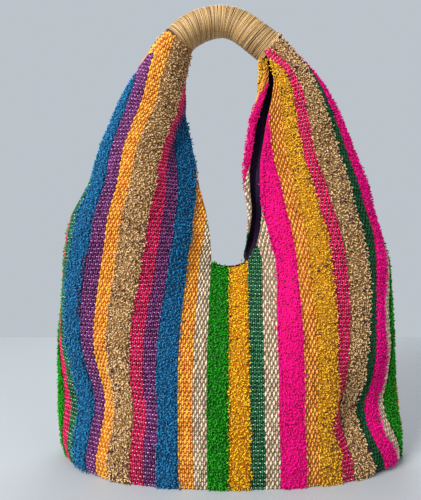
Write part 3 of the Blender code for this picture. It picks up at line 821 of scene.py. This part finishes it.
def add_weave(batch, cloth):
    """Floats and dots of every flat stripe of half a panel."""
    number = 0
    rows = np.arange(0, int(cloth.levels[-1] / ROW_PITCH) + 1)
    for start, end, weave, yarn in cloth.half.stripes:
        count = max(2, round((end - start) / YARN_PITCH))
        pitch = (end - start) / count
        for column in start + (np.arange(count) + 0.5) * pitch if weave == "flat" else ():
            odd = (rows + number) % 2 == 1
            number += 1
            for floats, kind in ((True, FLOATS), (False, CROSS_DOTS)):
                half_length, height, spread, stations, shades = kind
                level = (rows[odd == floats] + 0.5) * ROW_PITCH
                low, high = cloth.limits(level)
                s = column + cloth.half.drift(column, level)
                inside = ((s > low + 0.2 * MM) & (s < high - 0.6 * MM)
                          & (level < cloth.half.top - LAPPED_CLOTH))
                amount = inside.sum()
                level = level[inside] + RANDOM.normal(0, WEAVE_WANDER[1], amount)
                s = s[inside] + RANDOM.normal(0, WEAVE_WANDER[0], amount)
                slot = YARN_NAMES.index(yarn if floats else DOTS.get(yarn, "cross"))
                add_bumps(batch, cloth, s, level,
                          FLOAT_HALF_WIDTH * pitch if floats else DOT_HALF_WIDTH,
                          half_length * MM, RANDOM.normal(height, spread, amount) * MM,
                          stations, np.full(amount, slot), RANDOM.uniform(*shades, amount))
        if weave != "flat":
            number += count


# The cut pile: a strand about every 2.4 mm each way, with the ranges of its root's height,
# its length, radius, lean and shade, in mm and degrees. It is a three-sided stem, narrower
# at the root, that ends in a tip.
PILE_PITCH = 2.4 * MM
PILE_ROOT = (3.4, 4.8)
PILE_LENGTH = (3.0, 4.4)
PILE_RADIUS = (0.75, 1.1)
PILE_LEAN = (35, 82)
PILE_SHADE = (0.15, 0.7)
STEM_RINGS = np.array((0.0, 0.62))
STEM_RADII = np.array((0.7, 1.0))
STEM_CORNERS = np.array((90.0, 210.0, 330.0))
STEM_FACES = ([(a, (a + 1) % 3, (a + 1) % 3 + 3, a + 3) for a in range(3)]
              + [(a + 3, (a + 1) % 3 + 3, 6) for a in range(3)])
# Waves in the edges of the pile: their height, how fast they go, and their start.
EDGE_WAVES = ((0.5, 520.0, 1.0), (0.3, 910.0, 2.3), (0.4, 170.0, 0.7))


def pile_edge(level, s):
    """How far the pile of a stripe that ends at s stands over its neighbour."""
    seed = 1e3 * s
    wander = sum(high * np.sin(level * pace + start * seed)
                 for high, pace, start in EDGE_WAVES)
    return (0.3 + 0.9 * wander) * MM


def add_pile(batch, cloth):
    """Cut strands of every pile stripe of half a panel, each leaning its own way."""
    for start, end, weave, yarn in cloth.half.stripes:
        if weave != "pile":
            continue
        across = np.arange(start - 0.4 * PILE_PITCH, end + PILE_PITCH, PILE_PITCH)
        up = np.arange(0.5 * PILE_PITCH, cloth.levels[-1], PILE_PITCH)
        s, level = (values.ravel() for values in np.meshgrid(across, up))
        s = s + RANDOM.uniform(-0.5, 0.5, len(s)) * PILE_PITCH
        level = level + RANDOM.uniform(-0.5, 0.5, len(s)) * PILE_PITCH
        low, high = cloth.limits(level)
        inside = ((s > start - pile_edge(level, start) * (start > 0))
                  & (s < end + pile_edge(level, end)))
        s = s + cloth.half.drift(s, level)
        inside &= (s > low + 0.2 * MM * (low > 0)) & (s < high - 0.2 * MM)
        inside &= level < cloth.half.top - LAPPED_CLOTH
        s, level = s[inside], level[inside]
        count = len(s)
        place, across_s, up_l, outward = cloth.frame(s, level)
        turn = RANDOM.uniform(0, 2 * np.pi, count)
        lean = RANDOM.uniform(*PILE_LEAN, count) * DEGREES
        length = RANDOM.uniform(*PILE_LENGTH, count) * MM
        aside = across_s * np.cos(turn)[:, None] + up_l * np.sin(turn)[:, None]
        go = aside * np.sin(lean)[:, None] + outward * np.cos(lean)[:, None]
        root = place + outward * RANDOM.uniform(*PILE_ROOT, count)[:, None] * MM
        path = root[:, None] + go[:, None] * (length[:, None] * STEM_RINGS)[:, :, None]
        radius = RANDOM.uniform(*PILE_RADIUS, count)[:, None] * STEM_RADII * MM
        side = unit(np.cross(go, outward + 0.01))
        over = np.cross(side, go)
        angles = (RANDOM.normal(0, 12, count)[:, None] + STEM_CORNERS) * DEGREES
        out = (side[:, None] * np.cos(angles)[:, :, None]
               + over[:, None] * np.sin(angles)[:, :, None])
        rings = path[:, :, None] + radius[:, :, None, None] * out[:, None]
        tip = root + go * length[:, None]
        points = np.concatenate((rings.reshape(count, 6, 3), tip[:, None]), axis=1)
        slot = np.full(count, YARN_NAMES.index(yarn))
        slot[RANDOM.uniform(0, 1, count) < FLECKED.get(yarn, 0.0)] = YARN_NAMES.index("fleck")
        # Painted shade and highlight: each strand is darker at its root and on its side
        # towards the cloth, and lighter on its side facing out, on top of its random tone.
        above = np.sum(out * outward[:, None], axis=2)
        tone_and_painted_shade = np.column_stack((0.25 * above - 0.35, 0.55 * above, np.full(count, 0.15)))
        tone_and_painted_shade += RANDOM.uniform(*PILE_SHADE, count)[:, None]
        batch.add(points, STEM_FACES, slot, tone_and_painted_shade)


def flat_panel():
    """The width and height of the cloth that one panel is cut from, and its area."""
    area = 0.0
    for half in HALVES.values():
        widths = [half.value("seam", level)
                  - (half.value("neckline", level) if level > NECK_LEVEL else 0.0)
                  for level in np.linspace(0.0, half.top, 300)]
        area += float(np.mean(widths)) * half.top
    height = max(half.top for half in HALVES.values())
    return (2 * HALVES["left"].value("seam", 0.0), height), area


FLAT_SIZE, FLAT_AREA = flat_panel()


def make_panel(side, face, yarns, lining):
    """One panel: the backing, its weave and its pile."""
    backing = make_backing(side + "_cloth", face, yarns, lining)
    weave = Batch()
    for name, half in HALVES.items():
        cloth = Cloth(half, face)
        add_weave(weave, cloth)
        pile = Batch()
        add_pile(pile, cloth)
        pile.piece(side + "_pile_" + name, yarns, "woven_cloth")
    weave.piece(side + "_weave", yarns, "woven_cloth")
    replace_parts(backing, side + "_panel")


LINING_INSET = 3.0 * MM
LINING_SLACK = 6.0 * MM
LINING_THICKNESS = 0.8 * MM
LINING_FOOT = 3.6 * MM
LINING_DROP = 4.0 * MM
LINING_CREASES = 9


def creased(x, z, seed):
    """A slow, uneven field between 0 and 1 for the lining's creases."""
    total = 0.0
    rng = np.random.default_rng(seed)
    for _ in range(LINING_CREASES):
        angle = rng.normal(0.0, 0.35)
        pitch = rng.uniform(60.0, 230.0)
        phase = rng.uniform(0, 2 * np.pi)
        bent = 1.3 * np.sin(30.0 * z + phase)
        total = total + np.abs(np.sin(pitch * (x * np.cos(angle) + z * np.sin(angle))
                                      + phase + bent))
    return total / LINING_CREASES


def make_lining(side, face, material):
    """The lining of one panel, slack and creased inside it."""
    def place(half, s, level):
        level = max(level, LINING_FOOT)
        row = half.place(s, level, face, LINING_INSET)
        deeper = half.place(s, level, face, LINING_INSET + LINING_SLACK)
        room = smooth_step(min(level - LINING_FOOT, half.top - level) / (30 * MM))
        from_hem = s - half.value("neckline", level) if level > NECK_LEVEL - 12 * MM else 1.0
        hem = smooth_step(np.minimum(half.value("seam", level) - s, from_hem) / (25 * MM))
        arm = 1.0 - 0.7 * smooth_step((level - NECK_LEVEL) / (150 * MM))
        share = creased(s * half.sign, level, 3 + face) * hem * room * arm
        return row + (deeper - row) * share[:, None]

    points, quads, _ = sheet_grid(face, place, LINING_FOOT, LINING_DROP)
    name = side + "_lining"
    lining = add_piece(name, sheet_mesh(name, points, quads, [material]))
    with_settings(lining.modifiers.new("thickness", "SOLIDIFY"),
                  thickness=LINING_THICKNESS, offset=-1.0)
    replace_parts(lining, "lining_" + side)


# The handle: its middle and its radius at the left end, the middle and the right end, in
# mm, and its heading there.
WRAP_MIDDLE = (-9.5, 0.0, 588.0)
WRAP_HEADING = 1 * DEGREES
WRAP_RADII = (21.5, 20.0, 21.5)
PART_GAP = 0.3 * MM
SPAN_STEPS = 60
WRAP_STEPS = 400
# How far the turns reach over the cloth, and how much wider they are there, left and right.
WRAP_LAPS = (8 * MM, 9 * MM)
WRAP_FLARE = (0.5 * MM, 1.5 * MM)

# The turns of raffia, in mm: half their width, how far they sink into the winding, and
# the gap after every one to three of them.
TURN_WIDTH = (0.45, 0.75)
TURN_SINK = (0.0, 0.45)
TURN_GAP = (0.05, 0.7)
TURN_SPACING = 0.97           # of their width, so that they touch
TURN_FLATNESS = 0.9
TURN_SLANT = 3.2 * MM
WOUND_END = 0.4 * MM          # left free at each end of the handle's line
TURN_END = 0.6 * MM           # and the same for a turn's slant
CORE_INSET = 0.9 * MM


def wrap_centre_line():
    """Places along the handle's centre line, evenly spaced from arm to arm."""
    ends = []
    for name, turn in (("left", 1.0), ("right", -1.0)):
        half = HALVES[name]
        tilt = half.value("tilt", half.top)
        up = np.array((-half.sign * math.sin(tilt), 0.0, math.cos(tilt)))
        top = np.array((half.value("centre", half.top), 0.0, half.top))
        ends.append((top + up * 2 * PART_GAP, up * turn))
    middle = (np.array(WRAP_MIDDLE) * MM,
              np.array((math.cos(WRAP_HEADING), 0.0, math.sin(WRAP_HEADING))))
    shares = np.linspace(0.0, 1.0, SPAN_STEPS)
    line = []
    for (a, go_a), (b, go_b), us in ((ends[0], middle, shares[:-1]),
                                     (middle, ends[1], shares)):
        line += [cubic(u, np.linalg.norm(b - a), a, go_a, b, go_b) for u in us]
    line = np.array(line)
    length = length_so_far(np.linalg.norm(np.diff(line, axis=0), axis=1))
    return rows_between(np.linspace(0.0, length[-1], WRAP_STEPS), length, line)


def wound_line():
    """The line that the turns are wound on: places, directions along it and radii."""
    line = wrap_centre_line()
    share = np.linspace(-1.0, 1.0, len(line))
    radii = np.interp(share, (-1.0, 0.0, 1.0), WRAP_RADII) * MM
    tangents = unit(np.gradient(line, axis=0))
    line = np.vstack((line[:1] - WRAP_LAPS[0] * tangents[:1], line,
                      line[-1:] + WRAP_LAPS[1] * tangents[-1:]))
    radii = np.concatenate((radii[:1] + WRAP_FLARE[0], radii, radii[-1:] + WRAP_FLARE[1]))
    return line, np.vstack((tangents[:1], tangents, tangents[-1:])), radii


def turn_places(length):
    """Where each turn of raffia lies along the handle, and half its width."""
    turns = []
    at = WOUND_END
    while at < length - WOUND_END:
        for _ in range(RANDOM.integers(1, 4)):
            width = RANDOM.uniform(*TURN_WIDTH) * MM
            turns.append((at + width, width))
            at += 2 * width * TURN_SPACING
        at += RANDOM.uniform(*TURN_GAP) * MM
    return turns


def make_turns(line, tangents, radii):
    """Turns of raffia wound tightly round the handle's line."""
    reach = length_so_far(np.linalg.norm(np.diff(line, axis=0), axis=1))
    length = reach[-1]
    side = np.array((0.0, -1.0, 0.0))
    ups = unit(np.cross(side, tangents))
    ups = ups * np.sign(ups[:, 2:3] + 1e-9)
    around = np.linspace(0, 2 * np.pi, 40, endpoint=False)
    section = np.linspace(0, 2 * np.pi, 5, endpoint=False)
    n, m = len(around), len(section)
    faces = [(i * m + j, (i + 1) % n * m + j, (i + 1) % n * m + (j + 1) % m,
              i * m + (j + 1) % m) for i in range(n) for j in range(m)]
    numbers = np.arange(len(line))
    batch = Batch()
    for where, width in turn_places(length):
        sway = RANDOM.normal(0, 0.25 * MM, 2)
        along = (where + TURN_SLANT * np.cos(around - 0.6)
                 + sway[0] * np.cos(2 * around + sway[1] * 9e3))
        along = np.clip(along, TURN_END, length - TURN_END)
        k = np.interp(along, reach, numbers)
        centre, over, go = (rows_between(k, numbers, rows) for rows in (line, ups, tangents))
        radius = np.interp(k, numbers, radii) - RANDOM.uniform(*TURN_SINK) * MM
        over, go = unit(over), unit(go)
        out = side[None] * np.cos(around)[:, None] + over * np.sin(around)[:, None]
        ring = centre + out * radius[:, None]
        thick = (np.cos(section) * TURN_FLATNESS * width)[None, :, None]
        points = (ring[:, None, :] + out[:, None, :] * thick
                  + go[:, None, :] * (np.sin(section) * width)[None, :, None])
        # Painted shade and highlight: each turn is lighter on its outer face and darker on
        # its inner face and sides, on top of its random tone.
        tone_and_painted_shade = RANDOM.uniform(0.25, 0.75) + (
            0.1 * np.sin(around * 3 + sway[1] * 5e3)[:, None]
            + 0.4 * np.cos(section) - 0.22).reshape(1, -1)
        batch.add(points.reshape(1, -1, 3), faces, np.zeros(1, int), tone_and_painted_shade)
    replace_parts(batch.piece("handle_turns", [raffia_material()], "raffia"), "handle_wrap")


def make_core(line, radii):
    """The handle's core, coloured near black, which shows between the turns as painted shade.
    """
    curve = with_settings(bpy.data.curves.new("handle_core", "CURVE"),
                          dimensions="3D", twist_mode="Z_UP", bevel_depth=1.0,
                          bevel_resolution=6, use_fill_caps=True)
    spline = curve.splines.new("POLY")
    places = line[::8]
    spline.points.add(len(places) - 1)
    for point, place, radius in zip(spline.points, places, radii[::8]):
        with_settings(point, co=(*place, 1.0), radius=radius - CORE_INSET)
    # Near black: painted shade for the gaps between the turns.
    curve.materials.append(plain_material("handle_cord", 0.9, 300.0,
                                          (0.020, 0.009, 0.003, 1.0),
                                          (0.090, 0.045, 0.015, 1.0)))
    add_piece("handle_core", curve)


# Rings of the base's cloth, from under its rolled edge inwards: the share of the outline,
# and the height in mm.
BASE_RINGS = ((0.995, 0.2), (0.998, 1.6), (0.985, 2.8), (0.96, 2.2), (0.9, 2.0),
              (0.6, 1.9), (0.25, 1.8))


def make_base(material):
    """The base: an oval of cloth with a rolled edge."""
    sides = []
    for half in HALVES.values():
        s = np.linspace(0.0, half.value("seam", 0.0) - 0.5 * MM, 60)
        sides.append(half.place(s, 3 * MM, 1)[:, :2])
    front = np.vstack((sides[0][::-1], sides[1][1:]))
    outline = np.vstack((front, (front * (1, -1))[::-1]))
    centre = outline.mean(axis=0)
    points = [(x, y, height * MM) for share, height in BASE_RINGS
              for x, y in centre + (outline - centre) * share]
    n = len(outline)
    last = len(points) - n
    faces = [(first + k, first + (k + 1) % n, first + (k + 1) % n + n, first + k + n)
             for first in range(0, last, n) for k in range(n)]
    faces.append(tuple(range(last, last + n)))
    faces.append(tuple(range(n))[::-1])
    base = add_piece("base_cloth", sheet_mesh("base_cloth", points, faces, [material]))
    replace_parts(base, "base_panel")


FLOOR_CORNERS = [(-3, -3, 0), (3, -3, 0), (3, 0.75, 0), (-3, 0.75, 0)]
BACKDROP = (0.56, 0.61, 0.66, 1.0)
BACKDROP_STRENGTH = 0.9
# Lamps: name, place, size in metres and power in watts. All are aimed at one point.
LAMPS = (
    ("key", (-1.5, -1.5, 1.5), 1.0, 100.0),
    ("fill", (1.4, -1.2, 0.9), 1.4, 9.0),
    ("back", (0.2, 1.8, 1.7), 1.8, 26.0),
)
LAMPS_AIM = (0.0, 0.0, 0.3)
# The camera looks level along Y, with the photograph's focal length in its pixels.
CAMERA_PLACE = (-0.025, -0.58, 0.2746)
FOCAL_PIXELS = 422.4
PHOTO_HEIGHT = 500
SENSOR_HEIGHT = 36.0


def make_stage():
    """A pale floor, soft lights and the photograph's camera."""
    scene = bpy.context.scene
    scene.view_settings.view_transform = "Standard"
    material = plain_material("floor", 0.6, 3.0,
                              (0.35, 0.37, 0.385, 1.0), (0.39, 0.41, 0.425, 1.0))
    add_object("floor", sheet_mesh("floor", FLOOR_CORNERS, [(0, 1, 2, 3)],
                                            [material]))

    scene.world = bpy.data.worlds.new("studio")
    scene.world.use_nodes = True
    background = scene.world.node_tree.nodes["Background"]
    background.inputs["Color"].default_value = BACKDROP
    background.inputs["Strength"].default_value = BACKDROP_STRENGTH

    for name, place, size, power in LAMPS:
        light = with_settings(bpy.data.lights.new(name, "AREA"), size=size, energy=power)
        aim = np.array(LAMPS_AIM) - np.array(place)
        turn = (math.atan2(math.hypot(aim[0], aim[1]), -aim[2]), 0.0,
                math.atan2(aim[1], aim[0]) - math.pi / 2)
        with_settings(add_object(name, light), location=place, rotation_euler=turn)

    camera = with_settings(bpy.data.cameras.new("camera"), sensor_fit="VERTICAL",
                           sensor_height=SENSOR_HEIGHT,
                           lens=FOCAL_PIXELS / PHOTO_HEIGHT * SENSOR_HEIGHT,
                           clip_start=0.01)
    scene.camera = with_settings(add_object("camera", camera), location=CAMERA_PLACE,
                                 rotation_euler=(90 * DEGREES, 0.0, 0.0))


def main():
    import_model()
    make_stage()
    yarns = [yarn_material("yarn_" + name, *shades) for name, shades in YARNS.items()]
    line, tangents, radii = wound_line()
    make_turns(line, tangents, radii)
    make_core(line, radii)
    lining = lining_material()
    sides = (("front", 1), ("back", -1))
    for side, face in sides:
        make_panel(side, face, yarns, lining)
    for side, face in sides:
        make_lining(side, face, lining)
    make_base(lining)


main()
